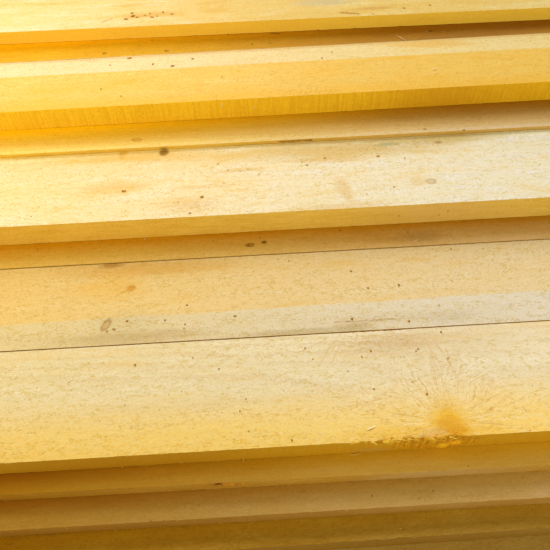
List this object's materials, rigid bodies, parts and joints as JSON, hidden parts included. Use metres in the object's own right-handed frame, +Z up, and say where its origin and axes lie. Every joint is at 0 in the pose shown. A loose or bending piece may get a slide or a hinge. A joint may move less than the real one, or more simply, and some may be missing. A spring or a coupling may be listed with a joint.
{
  "type": "stack of lumber",
  "caption": "Close-piled stack of rough-sawn pale softwood boards whose front steps back layer by layer, for storing or feeding sawn timber.",
  "frame": {"origin": "middle of the stack's footprint, on the ground", "axes": "+X along the boards, -Y out of the stepped front, +Z up"},
  "size_m": [2.4302, 0.9452, 0.208],
  "materials": {
    "layer_1": "rough sawn, unfinished",
    "layer_2": "rough sawn, unfinished",
    "layer_3": "rough sawn, unfinished",
    "layer_4": "rough sawn, unfinished",
    "layer_5": "rough sawn, unfinished",
    "layer_6": "rough sawn, unfinished",
    "layer_7": "rough sawn, unfinished",
    "layer_8": "rough sawn, unfinished",
    "layer_9": "rough sawn, unfinished"
  },
  "bodies": {
    "root": {"layer_1_board_1": "layer_1", "layer_1_board_2": "layer_1", "layer_1_board_3": "layer_1", "layer_1_board_4": "layer_1", "layer_1_board_5": "layer_1", "layer_1_board_6": "layer_1", "layer_1_board_7": "layer_1", "layer_1_board_8": "layer_1", "layer_1_board_9": "layer_1", "layer_2_board_1": "layer_2", "layer_2_board_2": "layer_2", "layer_2_board_3": "layer_2", "layer_2_board_4": "layer_2", "layer_2_board_5": "layer_2", "layer_2_board_6": "layer_2", "layer_2_board_7": "layer_2", "layer_2_board_8": "layer_2", "layer_2_board_9": "layer_2", "layer_3_board_1": "layer_3", "layer_3_board_2": "layer_3", "layer_3_board_3": "layer_3", "layer_3_board_4": "layer_3", "layer_3_board_5": "layer_3", "layer_3_board_6": "layer_3", "layer_3_board_7": "layer_3", "layer_3_board_8": "layer_3", "layer_3_board_9": "layer_3", "layer_4_board_1": "layer_4", "layer_4_board_2": "layer_4", "layer_4_board_3": "layer_4", "layer_4_board_4": "layer_4", "layer_4_board_5": "layer_4", "layer_4_board_6": "layer_4", "layer_4_board_7": "layer_4", "layer_4_board_8": "layer_4", "layer_5_board_1": "layer_5", "layer_5_board_2": "layer_5", "layer_5_board_3": "layer_5", "layer_5_board_4": "layer_5", "layer_5_board_5": "layer_5", "layer_5_board_6": "layer_5", "layer_5_board_7": "layer_5", "layer_5_board_8": "layer_5", "layer_6_board_1": "layer_6", "layer_6_board_2": "layer_6", "layer_6_board_3": "layer_6", "layer_6_board_4": "layer_6", "layer_6_board_5": "layer_6", "layer_6_board_6": "layer_6", "layer_7_board_1": "layer_7", "layer_7_board_2": "layer_7", "layer_7_board_3": "layer_7", "layer_7_board_4": "layer_7", "layer_8_board_1": "layer_8", "layer_8_board_2": "layer_8", "layer_8_board_3": "layer_8", "layer_9_board_1": "layer_9", "layer_9_board_2": "layer_9"}
  },
  "joints": []
}
